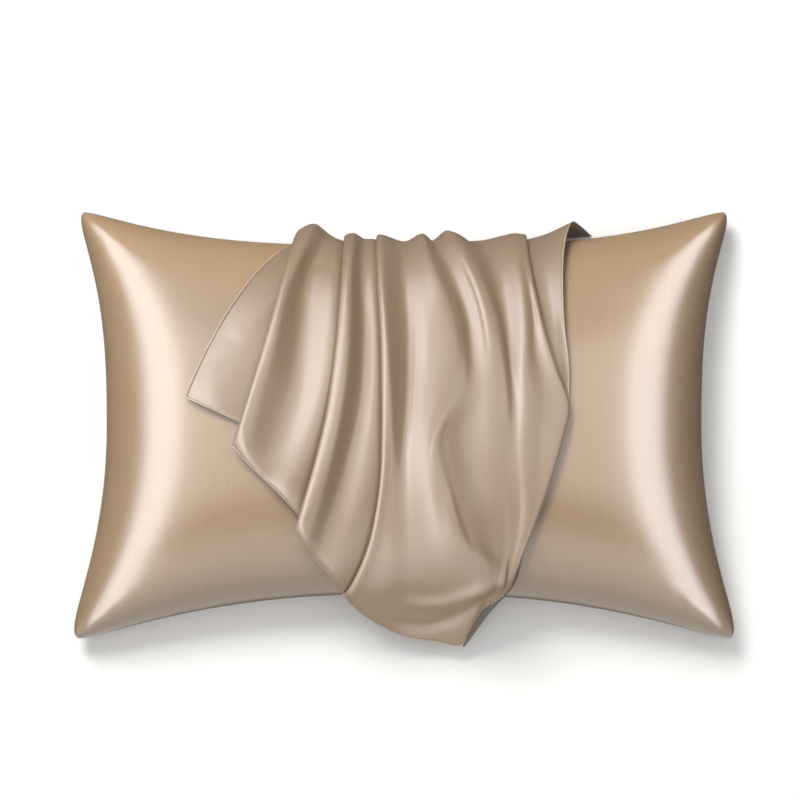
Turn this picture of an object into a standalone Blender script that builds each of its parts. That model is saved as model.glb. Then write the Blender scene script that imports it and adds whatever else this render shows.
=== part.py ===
"""A satin pillowcase draped over a pillow that wears its twin.

The pillow lies on its back, crown up, on its own flat spot. The loose case falls over both long sides of it:
knife folds and soft ridges run down it from where it is gathered over the far side, its far end stands on the
floor behind, and its near corner slants down to the floor in front. Both plies of the case lie together.
+X runs along the pillow's long sides, +Y points to the far one and +Z is up. The origin is on the floor under
the middle of the pillow. Sizes and tables are in millimetres; the meshes are in metres.
"""

from collections import namedtuple

import bmesh
import bpy
import numpy as np

MM = 0.001

# The dressed pillow: a cut of 508 x 762, whose sides the filling draws in between the corners.
WAIST_HALF_WIDTH = 333.0
FAR_WAIST = 201.0
NEAR_WAIST = 189.0
SIDE_FLARE_FAR, SIDE_BEND_FAR = 43.5, 2.6
SIDE_FLARE_NEAR, SIDE_BEND_NEAR = 54.5, 2.0
FAR_FLARE, FAR_BEND = 49.0, 3.0
NEAR_FLARE, NEAR_BEND = 65.0, 2.3
CORNER_PULL_FAR, CORNER_SHARPNESS_FAR = 0.04, 16.0
CORNER_PULL_NEAR, CORNER_SHARPNESS_NEAR = 0.05, 12.0
CROWN_RISE = 109.0
UNDERSIDE_DROP = 122.0
SEAM_HEIGHT = 58.0
CORNER_DROOP = 30.0
EDGE_STEEPNESS = 0.6
END_REACH, END_BLEND, CORNER_BLEND = 1.71, 3.0, 1.4
FLOOR_EASE = 9.0
PILLOW_CELLS = (31, 20)

# The draped case.
SHEET_THICKNESS = 1.0
CLEARANCE = 3.2
SLANT_START = -0.9
SLANT_FOOT = -252.0
SLANT_EASE = 4.0
TURN_LENGTH = 400.0
HEM_REACH, HEM_CURL, HEM_FADE = 14.0, 0.45, 40.0
LEAST_ROLL = 1.6
ROLL_SHARE = 0.22
FLOOR_GAP = 0.1
FAR_ROWS = 3
NEAR_ROWS = 25
NOSE_COLUMNS = 2

# One row for each line that runs down the case, left to right.
#   turns    0 a plain line, -1 the nose of a fold that points left, 1 one that points right
#   climbs   1 where the next ply goes on above the fold, -1 where it goes on below
#   columns  how many columns of faces lie between this line and the next
#   foot     x and lift at the far end, on the floor behind the pillow
#   seam     x and lift over the pillow's far seam
#   way      x, y and lift at a few places on from there, the last of them at the near end
# Lift is the height above the bed that the pillow makes.
Line = namedtuple("Line", "name turns climbs columns foot seam way")
LINES = (
    Line("left seam", 0, 0, 2, (-113.1, 1), (-113.1, 1),
         ((-168, 159, 1.5), (-197, 116, 2.5), (-217, 78, 5), (-238, 31, 11))),
    Line("flap middle", 0, 0, 2, (-103, 1), (-101.9, 3),
         ((-136, 146, 8), (-161, 108, 10), (-184, 68, 11), (-208, 18, 15))),
    Line("flap tuck", 1, 1, 2, (-94.1, 2), (-94.1, 4),
         ((-122, 143, 10), (-138, 95, 11), (-154, 44, 10.5), (-174, 4, 11))),
    Line("first edge", -1, 1, 1, (-114.2, 7), (-116.5, 11.5),
         ((-135, 146, 16.5), (-149, 95, 18.5), (-166, 40, 18.5), (-186, -22, 19))),
    Line("first crest", 0, 0, 3, (-103, 9), (-99.7, 19.5),
         ((-117, 164, 20.5), (-126, 143, 21), (-139, 91, 23.5), (-156, 36, 22.5), (-175, -32, 22))),
    Line("first trough", 0, 0, 2, (-87.4, 6), (-82.9, 8),
         ((-98, 173, 6.5), (-107, 151, 3.5), (-113, 94, 2.5), (-119, 35, 3), (-143, -31, 9),
          (-152, -55, 15))),
    Line("first ridge", 0, 0, 3, (-77.3, 3), (-70.6, 2),
         ((-74, 171, 9), (-74, 146, 12), (-76, 90, 13.5), (-85, 34, 13.5), (-103, -20, 13.5),
          (-131, -75, 15))),
    Line("second tuck", 1, 1, 2, (-54.9, 2), (-53.8, 2),
         ((-57, 151, 4), (-60, 93, 4), (-68, 16, 4), (-108, -100, 8))),
    Line("second edge", -1, 1, 1, (-66.1, 6.5), (-66.1, 6.5),
         ((-69, 144, 17), (-73, 93, 19), (-82, 24, 19), (-121, -113, 18))),
    Line("second crest", 0, 0, 2, (-57.1, 9), (-56, 10),
         ((-59, 142, 22), (-60, 90, 25), (-68, 21, 25), (-111, -124, 21))),
    Line("second trough", 0, 0, 2, (-45.9, 5.5), (-44.8, 4),
         ((-46, 150, 6.5), (-44, 92, 6), (-48, 22, 5.5), (-62, -37, 6.5), (-97, -141, 13))),
    Line("second ridge", 0, 0, 2, (-35.8, 4), (-34.7, 3.5),
         ((-33, 149, 9), (-30, 91, 9.5), (-32, 22, 9.5), (-42, -57, 10), (-80, -161, 13))),
    Line("third tuck", 1, 1, 2, (-17.9, 2), (-17.9, 2),
         ((-16, 151, 4), (-14, 90, 4), (-14, -26, 3.5), (-25, -117, 3.5), (-57, -193, 6))),
    Line("third edge", -1, 1, 1, (-30.2, 7.5), (-30.2, 7),
         ((-29, 146, 14), (-25, 81, 18), (-24, 5, 16), (-25, -46, 12), (-35, -110, 11), (-68, -179, 13))),
    Line("third crest", 0, 0, 3, (-22.4, 9), (-22.4, 8),
         ((-22, 144, 18), (-17, 80, 22), (-14, 5, 19), (-15, -41, 14), (-24, -109, 13), (-58, -190, 15))),
    Line("face trough", 0, 0, 2, (0, 3), (0, 1),
         ((-1, 152, 3), (3, 96, 2.5), (3, 35, 5), (-1, -15, 8.5), (-7, -107, 14), (-37, -210, 12))),
    Line("face slope", 0, 0, 2, (9, 5), (10.1, 5),
         ((10, 150, 6.5), (14, 95, 6.5), (13, 35, 8.5), (9, -15, 11.7), (10, -106, 16.3), (6, -165, 12.5),
          (3, -198, 10), (1, -227, 11))),
    Line("tip slope", 0, 0, 2, (14.6, 6), (14.6, 8),
         ((21, 148, 11), (25, 93, 12), (24, 34, 12.5), (19, -15, 16), (27, -105, 20), (40, -163, 15),
          (40, -200, 10.5), (34, -233, 11))),
    Line("tip", 0, 0, 1, (17.9, 7), (17.9, 9),
         ((24, 172, 13), (33, 145, 15.5), (38, 92, 15), (36, 34, 15), (27, -15, 19), (41, -104, 24),
          (58, -162, 17), (64, -199, 12.5), (64, -236, 13))),
    Line("face ridge", 0, 0, 2, (21.3, 7), (21.3, 9.5),
         ((30, 170, 14), (40, 145, 16.5), (51, 115, 16.5), (56, 82, 15.5), (52, 34, 13.5), (33, -15, 20.5),
          (41, -54, 23.5), (55, -93, 27), (76, -139, 21), (71, -222, 13))),
    Line("shoulder", 0, 0, 2, (25.8, 5), (25.8, 6),
         ((35, 175, 9.5), (46, 147, 12), (58, 117, 12.5), (64, 83, 12), (65, 42, 11.5), (43, -12, 16.5),
          (49, -40, 18), (57, -72, 21.5), (70, -103, 21.5), (90, -143, 18), (79, -204, 14))),
    Line("hollow", 0, 0, 2, (31.4, 4), (31.4, 2),
         ((43, 179, 4), (55, 151, 5.5), (68, 117, 4.5), (73, 85, 5.5), (78, 42, 9), (69, -5, 7),
          (72, -38, 9), (85, -77, 12), (95, -113, 13), (100, -150, 14.5), (89, -191, 12.5))),
    Line("middle ridge", 0, 0, 1, (47, 8), (47, 13),
         ((63, 173, 12.5), (74, 145, 12.5), (84, 114, 12), (91, 83, 12.5), (95, 42, 12.5), (95, -15, 11.5),
          (106, -78, 8.5), (110, -120, 9), (105, -153, 13), (99, -184, 12.5))),
    Line("middle crease", 0, 0, 1, (53.8, 7), (53.8, 11.5),
         ((69, 172, 14), (81, 144, 14.5), (91, 113, 13.5), (99, 83, 13.5), (104, 41, 12.5), (104, -15, 11),
          (113, -78, 8), (114, -120, 8.5), (110, -155, 12.5), (103, -181, 12))),
    Line("middle edge", 0, 0, 2, (61.6, 6), (61.6, 8),
         ((76, 173, 12), (87, 146, 13.5), (99, 114, 12.5), (106, 83, 12), (111, 36, 11.5), (112, -15, 10),
          (120, -100, 7), (114, -142, 10), (107, -178, 11.5))),
    Line("last trough", 0, 0, 2, (73.9, 4), (72.8, 0.5),
         ((97, 177, 1), (104, 145, 1.5), (111, 107, 2.5), (115, 69, 4.5), (119, 26, 8), (120, -16, 9.5),
          (125, -100, 6.7), (118, -141, 9), (109, -176, 10.5))),
    Line("last ridge", 0, 0, 2, (121, 7), (123.2, 8.5),
         ((125, 170, 10.5), (130, 140, 12.5), (132, 98, 13.5), (130, 57, 13.5), (132, 26, 13.5),
          (130, -15, 12.5), (133, -98, 8.3), (122, -139, 9), (113, -173, 9.5))),
    Line("last crease", 0, 0, 1, (128.8, 7), (129.9, 7.5),
         ((133, 164, 10.5), (141, 112, 10), (143, 84, 9.5), (154, 37, 9.5), (150, -16, 10.2),
          (139, -97, 8), (126, -137, 8.5), (115, -171, 9))),
    Line("last edge", 1, -1, 2, (136.6, 5), (136.6, 5),
         ((142, 149, 9.5), (153, 100, 12), (168, 53, 11), (179, 22, 9), (172, -13, 8.5), (159, -57, 7.5),
          (145, -97, 6), (130, -137, 6.5), (118, -169, 7.5))),
    Line("under tuck", -1, -1, 2, (121, 1.8), (121, 1.8),
         ((128, 151, 2), (144, 86, 2.2), (152, 27, 2), (147, -16, 2), (121, -85, 2.2), (99, -151, 2),
          (74, -201, 1.8))),
    Line("under middle", 0, 0, 2, (157.9, 2), (153.4, 4),
         ((155, 153, 1.5), (165, 86, 1), (167, 43, 0.5), (158, -16, 0.3), (129, -101, 0.3),
          (109, -165, 0.3), (70, -226, 0.3))),
    Line("right seam", 0, 0, 0, (212.8, 2), (191.5, 17),
         ((175, 176, 12), (173, 143, 10), (174, 104, 8.5), (178, 65, 6), (178, 35, 2.5), (167, -16, 0.3),
          (137, -103, 0.3), (119, -177, 0.3), (95, -208, 0.3), (68, -250, 0.3))),
)


def half_width(v):
    """Half the pillow's width at v, which runs from -1 at the near long side to 1 at the far one."""
    far = SIDE_FLARE_FAR * np.abs(v) ** SIDE_BEND_FAR
    near = SIDE_FLARE_NEAR * np.abs(v) ** SIDE_BEND_NEAR
    return WAIST_HALF_WIDTH + np.where(v > 0, far, near)


def long_sides(u):
    """y of the far and the near long side at u, which runs from -1 to 1 along them."""
    far = FAR_WAIST + FAR_FLARE * np.abs(u) ** FAR_BEND
    near = -NEAR_WAIST - NEAR_FLARE * np.abs(u) ** NEAR_BEND
    return far, near


def fullness(u, v):
    """How far the filling lifts the cover: 0 at the seam, 1 at the crown of the middle."""
    rise = (1 - v**2) ** EDGE_STEEPNESS
    from_end = END_REACH * (1 - u**2) / (rise + 1e-6)
    blend = END_BLEND + (CORNER_BLEND - END_BLEND) * (u * v) ** 2
    return rise * from_end**EDGE_STEEPNESS / (1 + from_end**blend) ** (EDGE_STEEPNESS / blend)


def seam_height(u, v):
    return SEAM_HEIGHT - CORNER_DROOP * (u * v) ** 2


def cover_height(u, v):
    return seam_height(u, v) + CROWN_RISE * fullness(u, v)


def pillow_point(u, v, side):
    """A point of the pillow's cover; side is 1 for its upper face and -1 for its underside."""
    far, near = long_sides(u)
    pull_far = CORNER_PULL_FAR * np.abs(u * v) ** CORNER_SHARPNESS_FAR
    pull_near = CORNER_PULL_NEAR * np.abs(u * v) ** CORNER_SHARPNESS_NEAR
    pull = 1 - np.where(v > 0, pull_far, pull_near)
    x = u * half_width(v) * pull
    y = ((far + near) / 2 + v * (far - near) / 2) * pull
    if side > 0:
        return x, y, cover_height(u, v)
    hang = seam_height(u, v) - UNDERSIDE_DROP * fullness(u, v)
    eased = (hang + FLOOR_EASE) ** 2 / (4 * FLOOR_EASE)
    return x, y, np.where(hang > FLOOR_EASE, hang, np.where(hang < -FLOOR_EASE, 0.0, eased))


def smooth_curve(knots, values, at):
    """Values on a smooth curve through (knots, values); each row of values is a point."""
    steps = np.diff(knots)
    rises = np.diff(values, axis=0) / steps[:, None]
    slopes = np.empty_like(values)
    slopes[0], slopes[-1] = rises[0], rises[-1]
    before, after = steps[:-1, None], steps[1:, None]
    slopes[1:-1] = (rises[:-1] * after + rises[1:] * before) / (before + after)
    i = np.clip(np.searchsorted(knots, at, side="right") - 1, 0, len(steps) - 1)
    t = ((at - knots[i]) / steps[i])[:, None]
    run = steps[i][:, None]
    return (
        (2 * t**3 - 3 * t**2 + 1) * values[i]
        + (t**3 - 2 * t**2 + t) * run * slopes[i]
        + (3 * t**2 - 2 * t**3) * values[i + 1]
        + (t**3 - t**2) * run * slopes[i + 1]
    )


# A way down the bed is told by its turn: FOOT on the floor behind the pillow, 0 on the far seam, and then
# an angle over the pillow, in half circles, that runs on at an even rate down the slant in front.
FOOT = -0.13
KNEE = np.arccos(SLANT_START) / np.pi
RATE = np.pi * np.sqrt(1 - SLANT_START**2)


def turn_of(x, y):
    v = np.zeros_like(y)
    for _ in range(4):
        far, near = long_sides(x / half_width(np.clip(v, -1, 1)))
        v = (y - (far + near) / 2) / ((far - near) / 2)
    over = np.arccos(np.clip(v, SLANT_START, 1)) / np.pi
    return np.where(v > SLANT_START, over, KNEE + (SLANT_START - v) / RATE)


def bed(x, turn):
    """(y, z) of what the case lies on."""
    over = np.cos(np.pi * np.clip(turn, 0, KNEE))
    v = np.where(turn < KNEE, over, SLANT_START - (turn - KNEE) * RATE)
    u = x / half_width(np.clip(v, -1, 1))
    far, near = long_sides(u)
    y = (far + near) / 2 + v * (far - near) / 2
    start = (far + near) / 2 + SLANT_START * (far - near) / 2
    slant = cover_height(u, SLANT_START) * (y - SLANT_FOOT) / (start - SLANT_FOOT)
    slant = (slant + np.sqrt(slant**2 + SLANT_EASE**2)) / 2
    z = np.where(turn < KNEE, cover_height(u, over), slant)
    return y, np.where(turn < 0, seam_height(u, 1.0) * (1 - turn / FOOT), z)


def on_bed(x, turn, lift):
    """The point that far above the bed, square to it."""
    nudge = 0.004
    y0, z0 = bed(x, turn - nudge)
    y1, z1 = bed(x, turn + nudge)
    run = np.hypot(y1 - y0, z1 - z0)
    y, z = bed(x, turn)
    return x, y + lift * (z1 - z0) / run, z + lift * (y0 - y1) / run


def line_rows(line):
    """x, turn and lift of a line at each row of the sheet. The hem curls down where it ends left of x = 0."""
    x, y, lift = np.array(line.way, float).T
    turns = np.concatenate([[FOOT, 0], turn_of(x, y)])
    x = np.concatenate([[line.foot[0], line.seam[0]], x])
    lift = np.concatenate([[line.foot[1], line.seam[1]], lift])
    drop = np.linspace(FOOT, 0, FAR_ROWS, endpoint=False)
    at = np.concatenate([drop, np.linspace(0, turns[-1], NEAR_ROWS + 1)])
    rows = smooth_curve(turns, np.stack([x, turns, lift], axis=1), at)
    curl = HEM_CURL * np.clip(-x[-1] / HEM_FADE, 0, 1)
    near_end = np.clip(1 - (turns[-1] - at) * TURN_LENGTH / HEM_REACH, 0, 1)
    rows[:, 2] *= 1 - curl * near_end**2
    return rows


def knots_of(lines):
    """The lines' rows as knots across the cloth: one for a plain line, three round the nose of a fold."""
    knots, columns = [], []
    for line in lines:
        rows = line_rows(line)
        if not line.turns:
            knots.append(rows)
            columns.append(line.columns)
            continue
        roll = np.maximum(LEAST_ROLL, ROLL_SHARE * rows[:, 2])
        back = rows - np.outer(line.turns * roll, (1, 0, 0))
        climb = np.outer(line.climbs * roll, (0, 0, 1))
        knots += [back - climb, rows, back + climb]
        columns += [NOSE_COLUMNS, NOSE_COLUMNS, line.columns]
    return np.array(knots), columns[:-1]


def sheet_grid():
    """Points of the case's middle surface, as [column][row] of (x, y, z)."""
    knots, columns = knots_of(LINES)
    grid = []
    for row in range(knots.shape[1]):
        across = knots[:, row]
        gaps = np.linalg.norm(np.diff(across, axis=0) * (1, TURN_LENGTH, 1), axis=1) ** 0.5
        at = np.concatenate([[0], np.cumsum(gaps)])
        places = [np.linspace(at[i], at[i + 1], n, endpoint=False) for i, n in enumerate(columns)]
        x, turn, lift = smooth_curve(at, across, np.concatenate(places + [at[-1:]])).T
        grid.append(np.stack(on_bed(x, turn, CLEARANCE + lift), axis=1))
    grid = np.array(grid)
    grid[:, :, 2] = np.maximum(grid[:, :, 2], SHEET_THICKNESS / 2 + FLOOR_GAP)
    return grid.transpose(1, 0, 2)


def material(name, colour, roughness):
    """Woven satin: a soft cloth with a sheen, and no metal."""
    made = bpy.data.materials.new(name)
    made.use_nodes = True
    shader = made.node_tree.nodes["Principled BSDF"]
    shader.inputs["Base Color"].default_value = (*colour, 1)
    shader.inputs["Roughness"].default_value = roughness
    shader.inputs["Metallic"].default_value = 0.0
    return made


def add_object(name, mesh_data, finish):
    mesh = bpy.data.meshes.new(name)
    mesh_data.to_mesh(mesh)
    mesh_data.free()
    mesh.materials.append(finish)
    mesh.shade_smooth()
    made = bpy.data.objects.new(name, mesh)
    bpy.context.scene.collection.objects.link(made)
    return made


def add_pillow(finish):
    """Two curved faces that meet along one seam all round."""
    across, along = (np.sin(np.linspace(-np.pi / 2, np.pi / 2, n + 1)) for n in PILLOW_CELLS)
    u, v = np.meshgrid(across, along, indexing="ij")
    solid = bmesh.new()
    verts = {}
    for side in (1, -1):
        points = MM * np.stack(pillow_point(u, v, side), axis=2)
        for i, j in np.ndindex(u.shape):
            on_seam = i in (0, PILLOW_CELLS[0]) or j in (0, PILLOW_CELLS[1])
            verts[side, i, j] = verts[1, i, j] if side < 0 and on_seam else solid.verts.new(points[i, j])
        for i, j in np.ndindex(*PILLOW_CELLS):
            ring = [(i, j), (i + 1, j), (i + 1, j + 1), (i, j + 1)]
            solid.faces.new([verts[side, a, b] for a, b in ring[::side]])
    return add_object("pillow", solid, finish)


def add_draped_case(finish):
    """The folded sheet, thickened to both sides of its middle surface."""
    sheet = bmesh.new()
    verts = [[sheet.verts.new(MM * point) for point in column] for column in sheet_grid()]
    for left, right in zip(verts, verts[1:]):
        for k in range(len(left) - 1):
            sheet.faces.new([left[k + 1], right[k + 1], right[k], left[k]])
    made = add_object("draped_pillowcase", sheet, finish)
    thick = made.modifiers.new("both plies", "SOLIDIFY")
    thick.thickness = SHEET_THICKNESS * MM
    thick.offset = 0.0
    return made


def main():
    for old in list(bpy.data.objects):
        bpy.data.objects.remove(old)
    add_pillow(material("champagne satin of the dressed pillow", (0.46, 0.34, 0.24), 0.38))
    add_draped_case(material("champagne satin of the loose case", (0.48, 0.36, 0.26), 0.36))


main()
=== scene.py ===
"""The looks of a satin pillowcase that is draped over a pillow wearing its twin.

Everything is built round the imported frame, in its own axes: +X along the pillow, +Y to its far side, +Z up.
Sizes and tables are in millimetres, and meshes are in metres.
"""

from collections import namedtuple

import bpy
import numpy as np
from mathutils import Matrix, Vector


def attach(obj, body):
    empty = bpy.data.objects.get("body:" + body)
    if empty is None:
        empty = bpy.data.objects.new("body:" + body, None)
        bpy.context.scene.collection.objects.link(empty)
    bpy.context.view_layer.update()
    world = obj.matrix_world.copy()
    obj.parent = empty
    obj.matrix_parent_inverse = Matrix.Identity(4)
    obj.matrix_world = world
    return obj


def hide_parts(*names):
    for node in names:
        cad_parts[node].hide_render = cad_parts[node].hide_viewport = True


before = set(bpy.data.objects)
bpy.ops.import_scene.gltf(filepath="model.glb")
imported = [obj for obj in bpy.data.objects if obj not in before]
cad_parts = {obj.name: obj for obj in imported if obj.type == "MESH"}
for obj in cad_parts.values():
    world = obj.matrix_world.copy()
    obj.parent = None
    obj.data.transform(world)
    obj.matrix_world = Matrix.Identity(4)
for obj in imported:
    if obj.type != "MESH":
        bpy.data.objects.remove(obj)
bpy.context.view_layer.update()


# ---------------------------------------------------------------------------------------------------------
# The dressed pillow
# A fibre filling in a satin case that was cut 508 x 762, sewn round its edge and turned right side out.
# The filling domes both faces, so the edge is drawn in between the four corners, which stay flat and pointed.
# The seam is plain, with no piping, and its thread gathers the cloth beside it a little.
# ---------------------------------------------------------------------------------------------------------

MM = 0.001
CUT_HALF_LENGTH, CUT_HALF_WIDTH = 381.0, 254.0

# The outline: from the middle of the pillow to the middle of each side, and how far that side flares out
# towards its corners. A bend is the power of the flare's curve, and the corners are pulled in a little.
WAIST_HALF_WIDTH = 333.0
FAR_WAIST, NEAR_WAIST = 201.0, 189.0
SIDE_FLARE_FAR, SIDE_BEND_FAR = 43.5, 2.6
SIDE_FLARE_NEAR, SIDE_BEND_NEAR = 54.5, 2.0
FAR_FLARE, FAR_BEND = 49.0, 3.0
NEAR_FLARE, NEAR_BEND = 65.0, 2.3
CORNER_PULL_FAR, CORNER_SHARPNESS_FAR = 0.04, 16.0
CORNER_PULL_NEAR, CORNER_SHARPNESS_NEAR = 0.05, 12.0

# The height: the seam over the floor, the crown over the seam, and how full the cover stays near its ends.
SEAM_HEIGHT, CORNER_DROOP = 58.0, 30.0
CROWN_RISE, UNDERSIDE_DROP = 109.0, 122.0
EDGE_STEEPNESS = 0.6
END_REACH, END_BLEND, CORNER_BLEND = 1.71, 3.0, 1.4
FLOOR_EASE = 9.0
PILLOW_CELLS = (196, 128)


def half_width(v):
    """Half the pillow's width at v, which runs from -1 at the near long side to 1 at the far one."""
    far = SIDE_FLARE_FAR * np.abs(v) ** SIDE_BEND_FAR
    near = SIDE_FLARE_NEAR * np.abs(v) ** SIDE_BEND_NEAR
    return WAIST_HALF_WIDTH + np.where(v > 0, far, near)


def long_sides(u):
    """y of the far and the near long side at u, which runs from -1 to 1 along them."""
    far = FAR_WAIST + FAR_FLARE * np.abs(u) ** FAR_BEND
    near = -NEAR_WAIST - NEAR_FLARE * np.abs(u) ** NEAR_BEND
    return far, near


def fullness(u, v):
    """How far the filling lifts the cover: 0 at the seam, 1 at the crown of the middle."""
    rise = (1 - v**2) ** EDGE_STEEPNESS
    hair = 1e-6  # keeps the seam, where the rise is 0, from a division by 0
    from_end = END_REACH * (1 - u**2) / (rise + hair)
    blend = END_BLEND + (CORNER_BLEND - END_BLEND) * (u * v) ** 2
    return rise * from_end**EDGE_STEEPNESS / (1 + from_end**blend) ** (EDGE_STEEPNESS / blend)


def seam_height(u, v):
    return SEAM_HEIGHT - CORNER_DROOP * (u * v) ** 2


def cover_height(u, v):
    return seam_height(u, v) + CROWN_RISE * fullness(u, v)


def pillow_point(u, v, side):
    """A point of the pillow's cover; side is 1 for its upper face and -1 for its underside."""
    far, near = long_sides(u)
    pull_far = CORNER_PULL_FAR * np.abs(u * v) ** CORNER_SHARPNESS_FAR
    pull_near = CORNER_PULL_NEAR * np.abs(u * v) ** CORNER_SHARPNESS_NEAR
    pull = 1 - np.where(v > 0, pull_far, pull_near)
    x = u * half_width(v) * pull
    y = ((far + near) / 2 + v * (far - near) / 2) * pull
    if side > 0:
        return x, y, cover_height(u, v)
    hang = seam_height(u, v) - UNDERSIDE_DROP * fullness(u, v)
    eased = (hang + FLOOR_EASE) ** 2 / (4 * FLOOR_EASE)
    return x, y, np.where(hang > FLOOR_EASE, hang, np.where(hang < -FLOOR_EASE, 0.0, eased))


def linear(code):
    """An sRGB hex colour as the linear colour that a shader takes."""
    parts = [int(code[i : i + 2], 16) / 255 for i in (1, 3, 5)]
    return (*[p / 12.92 if p <= 0.04045 else ((p + 0.055) / 1.055) ** 2.4 for p in parts], 1.0)


def add_node(tree, kind, settings=None, links=None):
    """A new node with its settings made and its inputs set or linked."""
    node = tree.nodes.new(kind)
    for name, value in (settings or {}).items():
        setattr(node, name, value)
    for socket, value in (links or {}).items():
        if isinstance(value, bpy.types.NodeSocket):
            tree.links.new(value, node.inputs[socket])
        else:
            node.inputs[socket].default_value = value
    return node


# Polyester charmeuse satin, woven so that its face is nearly all warp floats and then calendered: soft, pale
# streaks of light over a warm sand colour, with no grain to be seen from a step away. Its filaments send back
# more light than plastic of their own kind, so the specular level is full.
THREAD_SPACING = 0.8 * MM  # eight real threads, which are too fine to show one by one
THREAD_RELIEF = 0.05 * MM
WAVE_SPACING = 0.314  # between the bands of a wave texture at scale 1
SLUB_LENGTH = 60.0 * MM
SLUB_SLIMNESS = 12  # a slub's length over its width
SLUB_RANGE = (0.3, 0.7)  # the noise values between which nearly all of the cloth lies
UNEVEN_SHINE = 0.01  # how far the roughness strays with the slubs
SATIN_IOR = 1.64


def satin(name, deep, pale, roughness):
    """A satin whose tint drifts between two colours along its threads."""
    made = bpy.data.materials.new(name)
    made.use_nodes = True
    tree = made.node_tree
    shader = tree.nodes["Principled BSDF"]
    threads = add_node(tree, "ShaderNodeUVMap", {"uv_map": "threads"}).outputs["UV"]
    along = add_node(tree, "ShaderNodeMapping", None, {
        "Vector": threads, "Scale": (SLUB_SLIMNESS / SLUB_LENGTH, 1 / SLUB_LENGTH, 1),
    }).outputs["Vector"]
    slubs = add_node(tree, "ShaderNodeTexNoise", None, {
        "Vector": along, "Scale": 1.0, "Detail": 3.0, "Roughness": 0.55,
    }).outputs["Fac"]
    floats = add_node(tree, "ShaderNodeTexWave", {"bands_direction": "X"}, {
        "Vector": threads, "Scale": WAVE_SPACING / THREAD_SPACING, "Distortion": 0.6, "Detail": 1.0,
    }).outputs["Fac"]
    tint = add_node(tree, "ShaderNodeValToRGB", None, {"Fac": slubs})
    for stop, position, code in zip(tint.color_ramp.elements, SLUB_RANGE, (deep, pale)):
        stop.position = position
        stop.color = linear(code)
    gloss = add_node(tree, "ShaderNodeMapRange", None, {
        "Value": slubs, "From Min": SLUB_RANGE[0], "From Max": SLUB_RANGE[1],
        "To Min": roughness - UNEVEN_SHINE, "To Max": roughness + UNEVEN_SHINE,
    }).outputs["Result"]
    weave = add_node(tree, "ShaderNodeBump", None, {
        "Height": floats, "Strength": 0.05, "Distance": THREAD_RELIEF,
    }).outputs["Normal"]
    tree.links.new(tint.outputs["Color"], shader.inputs["Base Color"])
    tree.links.new(gloss, shader.inputs["Roughness"])
    tree.links.new(weave, shader.inputs["Normal"])
    shader.inputs["IOR"].default_value = SATIN_IOR
    shader.inputs["Specular IOR Level"].default_value = 1.0
    return made


def new_piece(name, points, faces, uvs, finish):
    """A smooth mesh object in metres from points in millimetres, with a thread direction at each point."""
    mesh = bpy.data.meshes.new(name)
    mesh.from_pydata([tuple(p) for p in np.asarray(points) * MM], [], faces)
    layer = mesh.uv_layers.new(name="threads")
    corners = np.empty(len(mesh.loops), np.int32)
    mesh.loops.foreach_get("vertex_index", corners)
    layer.data.foreach_set("uv", (np.asarray(uvs)[corners] * MM).astype(np.float32).ravel())
    mesh.materials.append(finish)
    mesh.shade_smooth()
    made = bpy.data.objects.new(name, mesh)
    bpy.context.scene.collection.objects.link(made)
    return made


def unit(vectors):
    return vectors / np.linalg.norm(vectors, axis=-1, keepdims=True)


def outward(grid):
    """The direction square to a grid of points at each of them, up from cloth that lies face up."""
    return unit(np.cross(np.gradient(grid, axis=1), np.gradient(grid, axis=0)))


# The gathers that the seam's thread leaves in the cloth beside it. Each stray makes their pitch uneven by so
# many radians, over so many millimetres, from such a start.
GATHER_RISE, GATHER_PITCH, GATHER_REACH = 0.15, 27.0, 14.0
GATHER_STRAYS = ((1.9, 57.0, 0.0), (1.1, 23.0, 1.0))


def gathers(u, v, place):
    """How far the cover rises at each point for the gathers, which die out before the corners."""
    waves = 0
    sides = ((np.abs(v), FAR_WAIST, place[:, :, 0]), (np.abs(u), WAIST_HALF_WIDTH, place[:, :, 1]))
    for edge, reach, along in sides:
        inward = (1 - edge) * reach / GATHER_REACH
        uneven = sum(stray * np.sin(along / length + start) for stray, length, start in GATHER_STRAYS)
        waves += inward * np.exp(1 - inward) * np.sin(2 * np.pi * along / GATHER_PITCH + uneven)
    return GATHER_RISE * waves * (1 - (u * v) ** 4)


def pillow_mesh():
    """Points, faces and threads of the two faces, which share the points of the seam."""
    across, along = (np.sin(np.linspace(-np.pi / 2, np.pi / 2, n + 1)) for n in PILLOW_CELLS)
    u, v = np.meshgrid(across, along, indexing="ij")
    seam = np.isclose(np.abs(u), 1) | np.isclose(np.abs(v), 1)
    points, uvs, ids = [], [], {}
    for side in (1, -1):
        place = np.stack(pillow_point(u, v, side), axis=2)
        place += side * gathers(u, v, place)[:, :, None] * outward(place)
        number = np.full(u.shape, -1)
        if side < 0:
            number[seam] = ids[1][seam]
        fresh = number < 0
        number[fresh] = np.arange(fresh.sum()) + sum(map(len, points))
        points.append(place[fresh])
        uvs.append(np.stack([u * CUT_HALF_LENGTH, v * CUT_HALF_WIDTH], axis=2)[fresh])
        ids[side] = number
    faces = []
    for side, n in ids.items():
        ring = np.stack([n[:-1, :-1], n[1:, :-1], n[1:, 1:], n[:-1, 1:]], axis=2).reshape(-1, 4)
        faces += ring[:, ::side].tolist()
    return np.concatenate(points), faces, np.concatenate(uvs)


pillow_finish = satin("pillow champagne satin", "#7D664C", "#816A50", 0.29)
pillow = new_piece("dressed_pillow", *pillow_mesh(), pillow_finish)
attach(pillow, "root")
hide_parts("pillow")


# ---------------------------------------------------------------------------------------------------------
# The loose case
# A second satin case, cut and sewn like the first and empty, so that its two plies lie together. It was
# gathered in the hand and laid over the pillow: its far end stands on the floor, knife folds and soft ridges
# fan out from there, and its near corner hangs clear of the pillow's near side.
# ---------------------------------------------------------------------------------------------------------

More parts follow.
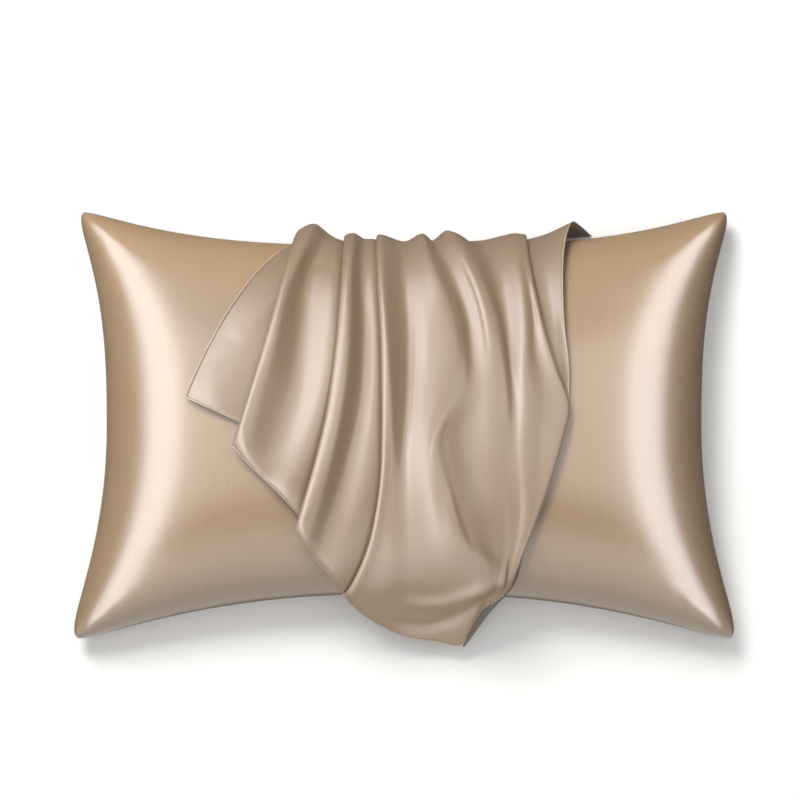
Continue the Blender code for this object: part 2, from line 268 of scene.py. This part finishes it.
SHEET_THICKNESS = 1.0
CLEARANCE, FLOOR_GAP = 3.2, 0.1
SLANT_START = -0.9  # the v of the pillow at which the cloth leaves it to slant down to the floor
SLANT_FOOT, SLANT_EASE = -252.0, 4.0
TURN_LENGTH = 400.0  # about the way from the far seam to the near one, in plan
HEM_REACH, HEM_CURL, HEM_FADE = 14.0, 0.45, 40.0
LEAST_ROLL, ROLL_SHARE = 1.6, 0.22  # half the height of a fold's nose: its least, and its share of the lift
FAR_ROWS, NEAR_ROWS = 14, 138
COLUMN_SHARE, NOSE_COLUMNS = 4, 5

# One row for each line that runs down the case, left to right.
#   turns    0 a plain line, -1 the nose of a fold that points left, 1 one that points right
#   climbs   1 where the next ply goes on above the fold, -1 where it goes on below
#   columns  how finely the cloth is divided between this line and the next
#   foot     x and lift at the far end, on the floor behind the pillow
#   seam     x and lift over the pillow's far seam
#   way      x, y and lift at a few places on from there, the last of them at the near end
# Lift is the height above the bed that the pillow makes.
Line = namedtuple("Line", "name turns climbs columns foot seam way")
LINES = (
    Line("left seam", 0, 0, 2, (-113.1, 1), (-113.1, 1),
         ((-168, 159, 1.5), (-197, 116, 2.5), (-217, 78, 5), (-238, 31, 11))),
    Line("flap middle", 0, 0, 2, (-103, 1), (-101.9, 3),
         ((-136, 146, 8), (-161, 108, 10), (-184, 68, 11), (-208, 18, 15))),
    Line("flap tuck", 1, 1, 2, (-94.1, 2), (-94.1, 4),
         ((-122, 143, 10), (-138, 95, 11), (-154, 44, 10.5), (-174, 4, 11))),
    Line("first edge", -1, 1, 1, (-114.2, 7), (-116.5, 11.5),
         ((-135, 146, 16.5), (-149, 95, 18.5), (-166, 40, 18.5), (-186, -22, 19))),
    Line("first crest", 0, 0, 3, (-103, 9), (-99.7, 19.5),
         ((-117, 164, 20.5), (-126, 143, 21), (-139, 91, 23.5), (-156, 36, 22.5), (-175, -32, 22))),
    Line("first trough", 0, 0, 2, (-87.4, 6), (-82.9, 8),
         ((-98, 173, 6.5), (-107, 151, 3.5), (-113, 94, 2.5), (-119, 35, 3), (-143, -31, 9),
          (-152, -55, 15))),
    Line("first ridge", 0, 0, 3, (-77.3, 3), (-70.6, 2),
         ((-74, 171, 9), (-74, 146, 12), (-76, 90, 13.5), (-85, 34, 13.5), (-103, -20, 13.5),
          (-131, -75, 15))),
    Line("second tuck", 1, 1, 2, (-54.9, 2), (-53.8, 2),
         ((-57, 151, 4), (-60, 93, 4), (-68, 16, 4), (-108, -100, 8))),
    Line("second edge", -1, 1, 1, (-66.1, 6.5), (-66.1, 6.5),
         ((-69, 144, 17), (-73, 93, 19), (-82, 24, 19), (-121, -113, 18))),
    Line("second crest", 0, 0, 2, (-57.1, 9), (-56, 10),
         ((-59, 142, 22), (-60, 90, 25), (-68, 21, 25), (-111, -124, 21))),
    Line("second trough", 0, 0, 2, (-45.9, 5.5), (-44.8, 4),
         ((-46, 150, 6.5), (-44, 92, 6), (-48, 22, 5.5), (-62, -37, 6.5), (-97, -141, 13))),
    Line("second ridge", 0, 0, 2, (-35.8, 4), (-34.7, 3.5),
         ((-33, 149, 9), (-30, 91, 9.5), (-32, 22, 9.5), (-42, -57, 10), (-80, -161, 13))),
    Line("third tuck", 1, 1, 2, (-17.9, 2), (-17.9, 2),
         ((-16, 151, 4), (-14, 90, 4), (-14, -26, 3.5), (-25, -117, 3.5), (-57, -193, 6))),
    Line("third edge", -1, 1, 1, (-30.2, 7.5), (-30.2, 7),
         ((-29, 146, 14), (-25, 81, 18), (-24, 5, 16), (-25, -46, 12), (-35, -110, 11), (-68, -179, 13))),
    Line("third crest", 0, 0, 3, (-22.4, 9), (-22.4, 8),
         ((-22, 144, 18), (-17, 80, 22), (-14, 5, 19), (-15, -41, 14), (-24, -109, 13), (-58, -190, 15))),
    Line("face trough", 0, 0, 2, (0, 3), (0, 1),
         ((-1, 152, 3), (3, 96, 2.5), (3, 35, 5), (-1, -15, 8.5), (-7, -107, 14), (-37, -210, 12))),
    Line("face slope", 0, 0, 2, (9, 5), (10.1, 5),
         ((10, 150, 6.5), (14, 95, 6.5), (13, 35, 8.5), (9, -15, 11.7), (10, -106, 16.3), (6, -165, 12.5),
          (3, -198, 10), (1, -227, 11))),
    Line("tip slope", 0, 0, 2, (14.6, 6), (14.6, 8),
         ((21, 148, 11), (25, 93, 12), (24, 34, 12.5), (19, -15, 16), (27, -105, 20), (40, -163, 15),
          (40, -200, 10.5), (34, -233, 11))),
    Line("tip", 0, 0, 1, (17.9, 7), (17.9, 9),
         ((24, 172, 13), (33, 145, 15.5), (38, 92, 15), (36, 34, 15), (27, -15, 19), (41, -104, 24),
          (58, -162, 17), (64, -199, 12.5), (64, -236, 13))),
    Line("face ridge", 0, 0, 2, (21.3, 7), (21.3, 9.5),
         ((30, 170, 14), (40, 145, 16.5), (51, 115, 16.5), (56, 82, 15.5), (52, 34, 13.5), (33, -15, 20.5),
          (41, -54, 23.5), (55, -93, 27), (76, -139, 21), (71, -222, 13))),
    Line("shoulder", 0, 0, 2, (25.8, 5), (25.8, 6),
         ((35, 175, 9.5), (46, 147, 12), (58, 117, 12.5), (64, 83, 12), (65, 42, 11.5), (43, -12, 16.5),
          (49, -40, 18), (57, -72, 21.5), (70, -103, 21.5), (90, -143, 18), (79, -204, 14))),
    Line("hollow", 0, 0, 2, (31.4, 4), (31.4, 2),
         ((43, 179, 4), (55, 151, 5.5), (68, 117, 4.5), (73, 85, 5.5), (78, 42, 9), (69, -5, 7),
          (72, -38, 9), (85, -77, 12), (95, -113, 13), (100, -150, 14.5), (89, -191, 12.5))),
    Line("middle ridge", 0, 0, 1, (47, 8), (47, 13),
         ((63, 173, 12.5), (74, 145, 12.5), (84, 114, 12), (91, 83, 12.5), (95, 42, 12.5), (95, -15, 11.5),
          (106, -78, 8.5), (110, -120, 9), (105, -153, 13), (99, -184, 12.5))),
    Line("middle crease", 0, 0, 1, (53.8, 7), (53.8, 11.5),
         ((69, 172, 14), (81, 144, 14.5), (91, 113, 13.5), (99, 83, 13.5), (104, 41, 12.5), (104, -15, 11),
          (113, -78, 8), (114, -120, 8.5), (110, -155, 12.5), (103, -181, 12))),
    Line("middle edge", 0, 0, 2, (61.6, 6), (61.6, 8),
         ((76, 173, 12), (87, 146, 13.5), (99, 114, 12.5), (106, 83, 12), (111, 36, 11.5), (112, -15, 10),
          (120, -100, 7), (114, -142, 10), (107, -178, 11.5))),
    Line("last trough", 0, 0, 2, (73.9, 4), (72.8, 0.5),
         ((97, 177, 1), (104, 145, 1.5), (111, 107, 2.5), (115, 69, 4.5), (119, 26, 8), (120, -16, 9.5),
          (125, -100, 6.7), (118, -141, 9), (109, -176, 10.5))),
    Line("last ridge", 0, 0, 2, (121, 7), (123.2, 8.5),
         ((125, 170, 10.5), (130, 140, 12.5), (132, 98, 13.5), (130, 57, 13.5), (132, 26, 13.5),
          (130, -15, 12.5), (133, -98, 8.3), (122, -139, 9), (113, -173, 9.5))),
    Line("last crease", 0, 0, 1, (128.8, 7), (129.9, 7.5),
         ((133, 164, 10.5), (141, 112, 10), (143, 84, 9.5), (154, 37, 9.5), (150, -16, 10.2),
          (139, -97, 8), (126, -137, 8.5), (115, -171, 9))),
    Line("last edge", 1, -1, 2, (136.6, 5), (136.6, 5),
         ((142, 149, 9.5), (153, 100, 12), (168, 53, 11), (179, 22, 9), (172, -13, 8.5), (159, -57, 7.5),
          (145, -97, 6), (130, -137, 6.5), (118, -169, 7.5))),
    Line("under tuck", -1, -1, 2, (121, 1.8), (121, 1.8),
         ((128, 151, 2), (144, 86, 2.2), (152, 27, 2), (147, -16, 2), (121, -85, 2.2), (99, -151, 2),
          (74, -201, 1.8))),
    Line("under middle", 0, 0, 2, (157.9, 2), (153.4, 4),
         ((155, 153, 1.5), (165, 86, 1), (167, 43, 0.5), (158, -16, 0.3), (129, -101, 0.3),
          (109, -165, 0.3), (70, -226, 0.3))),
    Line("right seam", 0, 0, 0, (212.8, 2), (191.5, 17),
         ((175, 176, 12), (173, 143, 10), (174, 104, 8.5), (178, 65, 6), (178, 35, 2.5), (167, -16, 0.3),
          (137, -103, 0.3), (119, -177, 0.3), (95, -208, 0.3), (68, -250, 0.3))),
)


def smooth_curve(knots, values, at):
    """Values on a smooth curve through (knots, values); each row of values is a point."""
    steps = np.diff(knots)
    rises = np.diff(values, axis=0) / steps[:, None]
    slopes = np.empty_like(values)
    slopes[0], slopes[-1] = rises[0], rises[-1]
    before, after = steps[:-1, None], steps[1:, None]
    slopes[1:-1] = (rises[:-1] * after + rises[1:] * before) / (before + after)
    i = np.clip(np.searchsorted(knots, at, side="right") - 1, 0, len(steps) - 1)
    t = ((at - knots[i]) / steps[i])[:, None]
    run = steps[i][:, None]
    return (
        (2 * t**3 - 3 * t**2 + 1) * values[i]
        + (t**3 - 2 * t**2 + t) * run * slopes[i]
        + (3 * t**2 - 2 * t**3) * values[i + 1]
        + (t**3 - t**2) * run * slopes[i + 1]
    )


# A way down the bed is told by its turn: FOOT on the floor behind the pillow, 0 on the far seam, and then
# an angle over the pillow, in half circles, that runs on at an even rate down the slant in front.
FOOT = -0.13
KNEE = np.arccos(SLANT_START) / np.pi
RATE = np.pi * np.sqrt(1 - SLANT_START**2)


def turn_of(x, y):
    """The turn at a place over the pillow. Its sides curve, so v is found in rounds, and four settle it."""
    v = np.zeros_like(y)
    for _ in range(4):
        far, near = long_sides(x / half_width(np.clip(v, -1, 1)))
        v = (y - (far + near) / 2) / ((far - near) / 2)
    over = np.arccos(np.clip(v, SLANT_START, 1)) / np.pi
    return np.where(v > SLANT_START, over, KNEE + (SLANT_START - v) / RATE)


def bed(x, turn):
    """(y, z) of what the case lies on."""
    over = np.cos(np.pi * np.clip(turn, 0, KNEE))
    v = np.where(turn < KNEE, over, SLANT_START - (turn - KNEE) * RATE)
    u = x / half_width(np.clip(v, -1, 1))
    far, near = long_sides(u)
    y = (far + near) / 2 + v * (far - near) / 2
    start = (far + near) / 2 + SLANT_START * (far - near) / 2
    slant = cover_height(u, SLANT_START) * (y - SLANT_FOOT) / (start - SLANT_FOOT)
    slant = (slant + np.sqrt(slant**2 + SLANT_EASE**2)) / 2
    z = np.where(turn < KNEE, cover_height(u, over), slant)
    return y, np.where(turn < 0, seam_height(u, 1.0) * (1 - turn / FOOT), z)


def on_bed(x, turn, lift):
    """The point that far above the bed, square to it."""
    nudge = 0.004
    y0, z0 = bed(x, turn - nudge)
    y1, z1 = bed(x, turn + nudge)
    run = np.hypot(y1 - y0, z1 - z0)
    y, z = bed(x, turn)
    return x, y + lift * (z1 - z0) / run, z + lift * (y0 - y1) / run


def line_rows(line):
    """x, turn and lift of a line at each row of the sheet. The hem curls down where it ends left of x = 0."""
    x, y, lift = np.array(line.way, float).T
    turns = np.concatenate([[FOOT, 0], turn_of(x, y)])
    x = np.concatenate([[line.foot[0], line.seam[0]], x])
    lift = np.concatenate([[line.foot[1], line.seam[1]], lift])
    drop = np.linspace(FOOT, 0, FAR_ROWS, endpoint=False)
    at = np.concatenate([drop, np.linspace(0, turns[-1], NEAR_ROWS + 1)])
    rows = smooth_curve(turns, np.stack([x, turns, lift], axis=1), at)
    curl = HEM_CURL * np.clip(-x[-1] / HEM_FADE, 0, 1)
    near_end = np.clip(1 - (turns[-1] - at) * TURN_LENGTH / HEM_REACH, 0, 1)
    rows[:, 2] *= 1 - curl * near_end**2
    return rows


def knots_of(lines):
    """The lines' rows as knots across the cloth: one for a plain line, three round the nose of a fold."""
    knots, columns = [], []
    for line in lines:
        rows = line_rows(line)
        if not line.turns:
            knots.append(rows)
            columns.append(line.columns * COLUMN_SHARE)
            continue
        roll = np.maximum(LEAST_ROLL, ROLL_SHARE * rows[:, 2])
        back = rows - np.outer(line.turns * roll, (1, 0, 0))
        climb = np.outer(line.climbs * roll, (0, 0, 1))
        knots += [back - climb, rows, back + climb]
        columns += [NOSE_COLUMNS, NOSE_COLUMNS, line.columns * COLUMN_SHARE]
    return np.array(knots), columns[:-1]


def sheet_grid():
    """Points of the case's middle surface, as [column][row] of (x, y, z)."""
    knots, columns = knots_of(LINES)
    grid = []
    for row in range(knots.shape[1]):
        across = knots[:, row]
        # Knots are set apart by the root of their distance, so that the curve doesn't swing out at a nose.
        gaps = np.linalg.norm(np.diff(across, axis=0) * (1, TURN_LENGTH, 1), axis=1) ** 0.5
        at = np.concatenate([[0], np.cumsum(gaps)])
        places = [np.linspace(at[i], at[i + 1], n, endpoint=False) for i, n in enumerate(columns)]
        x, turn, lift = smooth_curve(at, across, np.concatenate(places + [at[-1:]])).T
        grid.append(np.stack(on_bed(x, turn, CLEARANCE + lift), axis=1))
    grid = np.array(grid)
    grid[:, :, 2] = np.maximum(grid[:, :, 2], SHEET_THICKNESS / 2 + FLOOR_GAP)
    return grid.transpose(1, 0, 2)


# Creases that are finer than the folds, each on the cloth between two of the lines above.
#   width  half the width over which a crease swells or sinks
#   rise   its height above the cloth, below 0 for a trough
#   way    x and y at a few places along it
Crease = namedtuple("Crease", "name first last width rise way")
CREASES = (
    Crease("fold from the corner", "face trough", "last edge", 8, 5,
           ((116.8, -168.7), (95.1, -176.9), (62.3, -190.7), (29, -197.9), (1.1, -196.7))),
    Crease("trough above the tip", "face trough", "middle crease", 7, -4,
           ((-10.1, -220.3), (18, -226.4), (46.1, -220.3), (73.8, -204.4), (95.5, -189.4))),
    Crease("ridge to the corner", "face ridge", "last crease", 8, 2,
           ((67.5, -124), (83.1, -142.7), (98.7, -154.1), (114.3, -162))),
    Crease("dip under the peak", "first edge", "second tuck", 8, -2,
           ((-111.6, 184.4), (-101.4, 180.2), (-90.4, 177.4))),
    Crease("crease down the ridge", "hollow", "last trough", 2, -1.5,
           ((62.9, 182.6), (79.7, 140.4), (86.9, 109.1), (91, 75.9))),
    Crease("flap dent", "left seam", "flap tuck", 7, -1.2,
           ((-211, 86.7), (-195.8, 95), (-178.3, 91.6))),
    Crease("flap fold", "left seam", "flap tuck", 6, -1,
           ((-203, 60.2), (-186.7, 68.5), (-171.4, 66.3))),
)
CREASE_STEPS = 40


def first_columns():
    """The column of the grid in which each line lies, or the first one round the nose of a fold."""
    starts, column = {}, 0
    for line in LINES:
        starts[line.name] = column
        column += line.columns * COLUMN_SHARE + (2 * NOSE_COLUMNS if line.turns else 0)
    return starts


def lengths(path):
    """How far along the path each of its points lies."""
    return np.concatenate([[0], np.cumsum(np.linalg.norm(np.diff(path, axis=0), axis=1))])


def press_creases(grid, starts):
    """Raise or sink the cloth along each crease, square to its own surface, fading at both ends."""
    lift = np.zeros(grid.shape[:2])
    for crease in CREASES:
        way = np.array(crease.way, float)
        places = lengths(way)
        steps = smooth_curve(places, way, np.linspace(0, places[-1], CREASE_STEPS))
        part = slice(starts[crease.first], starts[crease.last])
        gaps = np.linalg.norm(grid[part, :, None, :2] - steps, axis=3)
        fade = np.sin(np.pi * (gaps.argmin(axis=2) + 0.5) / CREASE_STEPS) ** 0.5
        lift[part] += crease.rise * fade * np.exp(-((gaps.min(axis=2) / crease.width) ** 2))
    return grid + lift[:, :, None] * outward(grid)


# The machine stitching of the opening's edge gathers the cloth between its stitches, at an uneven pitch.
PUCKER_RISE, PUCKER_PITCH, PUCKER_REACH = 1.5, 6.5, 9.0
PUCKER_STRAY, STRAY_LENGTH = 2.1, 17.0


def pucker_opening(grid, starts):
    """Ruffle the near end of the cloth between the tip and the last fold."""
    part = slice(starts["tip"], starts["last edge"] + NOSE_COLUMNS)
    along = lengths(grid[part, -1])
    to_end = np.stack([lengths(column)[-1] - lengths(column) for column in grid[part]])
    waves = np.sin(2 * np.pi * along / PUCKER_PITCH + PUCKER_STRAY * np.sin(along / STRAY_LENGTH))
    fade = np.exp(-((to_end / PUCKER_REACH) ** 2)) * np.sin(np.pi * along / along[-1])[:, None] ** 0.5
    grid[part] += (PUCKER_RISE * waves[:, None] * fade)[:, :, None] * outward(grid)[part]
    return grid


def sheet_mesh(grid):
    """Points, faces and threads of the sheet; a thread's place is its distance along the cloth."""
    steps = [np.linalg.norm(np.diff(grid, axis=axis), axis=2) for axis in (0, 1)]
    across = np.concatenate([[0], np.cumsum(steps[0].mean(axis=1))])
    down = np.concatenate([[0], np.cumsum(steps[1].mean(axis=0))])
    uvs = np.stack(np.meshgrid(across, down, indexing="ij"), axis=2)
    n = np.arange(grid.shape[0] * grid.shape[1]).reshape(grid.shape[:2])
    faces = np.stack([n[:-1, 1:], n[1:, 1:], n[1:, :-1], n[:-1, :-1]], axis=2).reshape(-1, 4)
    return grid.reshape(-1, 3), faces.tolist(), uvs.reshape(-1, 2)


# The same satin as the pillow's, but slack: its shine spreads wider. Its colour is set a shade paler than the
# pillow's, which on the same satin is painted light.
case_finish = satin("loose champagne satin", "#856F59", "#89735D", 0.41)
# At the opening the ply that is folded back shows its inside, which has no floats, so it is dull. Its dark
# colour is painted shade, standing in for the shadow that the opening's edge casts on it.
shaded_inside_finish = satin("matt inside of the satin with painted shade", "#54473A", "#584B3E", 0.6)
# From this share on, the folded-back ply is coloured darker: painted shade.
SHADED_INSIDE_FROM = 0.7  # the share of the way down the case at which the inside starts to show

columns_of_lines = first_columns()
folded_back = columns_of_lines["under tuck"]
case_grid = pucker_opening(press_creases(sheet_grid(), columns_of_lines), columns_of_lines)
case = new_piece("loose_case", *sheet_mesh(case_grid), case_finish)
case.data.materials.append(shaded_inside_finish)
cells_down = case_grid.shape[1] - 1
shaded_inside_row = int(cells_down * SHADED_INSIDE_FROM)
# The folded-back ply's faces past that row take the dark inside finish, which is painted shade.
for face in case.data.polygons[folded_back * cells_down :]:
    face.material_index = face.index % cells_down > shaded_inside_row
plies = case.modifiers.new("both plies", "SOLIDIFY")
plies.thickness = SHEET_THICKNESS * MM
plies.offset = 0.0
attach(case, "root")
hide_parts("draped_pillowcase")


# ---------------------------------------------------------------------------------------------------------
# The edges of the loose case
# Its seams and its hem are turned to the inside, which leaves a firm, rounded edge down both sides and along
# the near end. Its pale colour is a painted highlight. On the ply that is folded back the edge is as dull as
# the inside beside it, and as dark, which is painted shade.
# ---------------------------------------------------------------------------------------------------------

EDGE_RADIUS, EDGE_SIDES = 0.9, 8


def tube(path, up, radii, sides):
    """Points, faces and threads of a tube round a path; up turns its sections and radii give their size."""
    ahead = unit(np.gradient(path, axis=0))
    up = unit(up - (up * ahead).sum(axis=1, keepdims=True) * ahead)
    across = np.cross(ahead, up)
    angles = np.linspace(0, 2 * np.pi, sides, endpoint=False)
    ring = np.cos(angles)[:, None, None] * up + np.sin(angles)[:, None, None] * across
    points = (path + ring * np.asarray(radii)[:, None]).transpose(1, 0, 2).reshape(-1, 3)
    around, steps = (np.arange(n) for n in (sides, len(path) - 1))
    corner = steps[:, None] * sides + around
    beside = steps[:, None] * sides + (around + 1) % sides
    faces = np.stack([corner, beside, beside + sides, corner + sides], axis=2).reshape(-1, 4)
    uvs = np.stack(np.meshgrid(angles * EDGE_RADIUS, lengths(path)), axis=2).reshape(-1, 2)
    return points, faces, uvs


def joined(parts):
    """Many (points, faces, threads) as one."""
    firsts = np.cumsum([0] + [len(part[0]) for part in parts[:-1]])
    faces = np.concatenate([part[1] + first for part, first in zip(parts, firsts)])
    points, threads = (np.concatenate([part[i] for part in parts]) for i in (0, 2))
    return points, faces.tolist(), threads


case_up = outward(case_grid)


def rim(*line):
    """The rounded edge down a column of the grid, or along a row of it, or along a part of one."""
    path = case_grid[line]
    return tube(path, case_up[line], np.full(len(path), EDGE_RADIUS), EDGE_SIDES)


# The turned seam is pressed hard. Its edge is coloured as the palest part of the case, which is a painted
# highlight.
highlight_edge_finish = satin("satin edge painted pale as a highlight", "#A8957F", "#AE9B86", 0.36)
highlight_rims = [rim(0), rim(slice(folded_back), -1), rim(-1, slice(shaded_inside_row))]
dull_shaded_rims = [rim(slice(folded_back - 1, None), -1), rim(-1, slice(shaded_inside_row, None))]
# The pale edges carry a painted highlight, and the dull edges of the folded-back ply painted shade.
edges = new_piece("case_edges", *joined(highlight_rims), highlight_edge_finish)
back_edges = new_piece("case_back_edges", *joined(dull_shaded_rims), shaded_inside_finish)
for piece in (edges, back_edges):
    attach(piece, "root")


# ---------------------------------------------------------------------------------------------------------
# The stitching of the loose case
# A row of machine stitches in polyester thread runs beside the near end and down the side seam, and holds
# what is turned to the inside. A stitch tapers at both ends, where its thread goes down into the cloth.
# ---------------------------------------------------------------------------------------------------------

STITCH_INSET, STITCH_PITCH, STITCH_LENGTH = 4.5, 3.0, 2.2
STITCH_RADIUS, STITCH_SIDES = 0.28, 6
STITCH_TAPER = (0.3, 1.0, 1.0, 0.3)  # the radius along a stitch, as shares of its full one


def stitch_row(path, up):
    """Stitches along a path on the cloth, each a short bar with tapered ends."""
    at = lengths(path)
    firsts = np.arange(STITCH_PITCH, at[-1] - STITCH_PITCH, STITCH_PITCH)
    along = firsts[:, None] + STITCH_LENGTH * np.linspace(0, 1, len(STITCH_TAPER))
    place = np.stack([np.interp(along, at, path[:, axis]) for axis in range(3)], axis=2)
    above = np.stack([np.interp(along, at, up[:, axis]) for axis in range(3)], axis=2)
    place = place + above * SHEET_THICKNESS / 2
    radii = STITCH_RADIUS * np.array(STITCH_TAPER)
    return [tube(stitch, above[i], radii, STITCH_SIDES) for i, stitch in enumerate(place)]


def inset(grid, up):
    """The path that lies STITCH_INSET inside the near end, and the direction square to the cloth there."""
    path, above = [], []
    for column, normals in zip(grid, up):
        at = lengths(column)
        path.append([np.interp(at[-1] - STITCH_INSET, at, column[:, axis]) for axis in range(3)])
        above.append([np.interp(at[-1] - STITCH_INSET, at, normals[:, axis]) for axis in range(3)])
    return np.array(path), np.array(above)


near_path, near_up = inset(case_grid, case_up)
side_path = case_grid[-1] + unit(case_grid[-2] - case_grid[-1]) * STITCH_INSET
seam_stitches = stitch_row(near_path, near_up) + stitch_row(side_path, case_up[-1])
# Twisted thread a shade lighter than the cloth, with a dull shine: a row of pale dashes beside the edge.
thread = satin("polyester sewing thread", "#A08E76", "#A5947C", 0.5)
stitching = new_piece("case_stitching", *joined(seam_stitches), thread)
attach(stitching, "root")


# ---------------------------------------------------------------------------------------------------------
# The studio
# A pale floor and a long softbox low on either side, whose shine runs down every slope that faces it. A small
# key light from behind shapes the folds and drops a shadow in front of each hem. A card in front lightens the
# case, a card on the floor the pillow's near side, and a wide box overhead what lies flat.
# ---------------------------------------------------------------------------------------------------------

COOL = (0.93, 0.945, 1.0)  # of the side softboxes, so that their shine is less yellow than the cloth
AIM = Vector((0.0, 0.0, 0.1))  # the lights are turned to this place, inside the pillow


def add_floor():
    """White background paper, which shows to the camera but not in the shine of the satin."""
    reach = 6.0
    below = -0.3 * MM
    mesh = bpy.data.meshes.new("studio_floor")
    ring = [(-reach, -reach, below), (reach, -reach, below), (reach, reach, below), (-reach, reach, below)]
    mesh.from_pydata(ring, [], [(0, 1, 2, 3)])
    paper = bpy.data.materials.new("white background paper")
    paper.use_nodes = True
    shader = paper.node_tree.nodes["Principled BSDF"]
    shader.inputs["Base Color"].default_value = linear("#E6E5E3")
    shader.inputs["Roughness"].default_value = 0.9
    shader.inputs["Specular IOR Level"].default_value = 0.1
    mesh.materials.append(paper)
    floor = bpy.data.objects.new("studio_floor", mesh)
    bpy.context.scene.collection.objects.link(floor)
    floor.visible_glossy = False


def add_softbox(name, place, size, radiance, colour=(1.0, 1.0, 1.0)):
    """An area light of that place and size in metres; its energy follows from its radiance and its area."""
    light = bpy.data.lights.new(name, "AREA")
    light.shape = "RECTANGLE"
    light.size, light.size_y = size
    light.energy = radiance * np.pi * size[0] * size[1]
    light.color = colour
    box = bpy.data.objects.new(name, light)
    box.location = place
    box.rotation_euler = (AIM - Vector(place)).to_track_quat("-Z", "Y").to_euler()
    bpy.context.scene.collection.objects.link(box)
    return box


add_floor()
left = add_softbox("left softbox", (-2.8, 0.0, 1.8), (9.5, 1.9), 5.1, COOL)
right = add_softbox("right softbox", (2.8, 0.0, 1.8), (9.5, 1.9), 5.1, COOL)
add_softbox("overhead softbox", (0.0, 0.1, 2.6), (5.0, 3.0), 1.3)
add_softbox("near softbox", (0.0, -3.4, 1.4), (6.0, 3.0), 1.1)
add_softbox("far softbox", (0.0, 3.4, 1.4), (6.0, 3.0), 0.2)
key = add_softbox("key light", (-0.8, 1.65, 2.4), (1.2, 1.2), 20.0)
card = add_softbox("near card", (-1.4, -2.6, 0.9), (3.4, 1.8), 2.8)
bounce = add_softbox("bounce card on the floor", (0.0, -0.95, 0.003), (2.0, 1.4), 0.8)
bounce.rotation_euler = (np.pi, 0.0, 0.0)  # it lies flat on the floor, face up
bounce.visible_camera = False

# Some lights give only shine, and some none, so that the bright bands on the satin stay crisp.
for box in (left, right, bounce):
    box.visible_diffuse = False
for box in (key, card):
    box.visible_glossy = False
# And some light one piece alone.
for box, piece in ((right, pillow), (bounce, pillow), (card, case)):
    box.light_linking.receiver_collection = bpy.data.collections.new("lit by the " + box.name)
    box.light_linking.receiver_collection.objects.link(piece)

world = bpy.data.worlds.new("pale studio")
world.use_nodes = True
world.node_tree.nodes["Background"].inputs["Color"].default_value = (1, 1, 1, 1)
world.node_tree.nodes["Background"].inputs["Strength"].default_value = 0.1
bpy.context.scene.world = world
bpy.context.scene.view_settings.view_transform = "Standard"

# The camera looks straight down on the middle of the pillow, from far off.
lens = bpy.data.cameras.new("camera")
lens.lens, lens.sensor_width = 135.0, 36.0
camera = bpy.data.objects.new("camera", lens)
camera.location = (-0.0045, 0.028, 3.418)
bpy.context.scene.collection.objects.link(camera)
bpy.context.scene.camera = camera
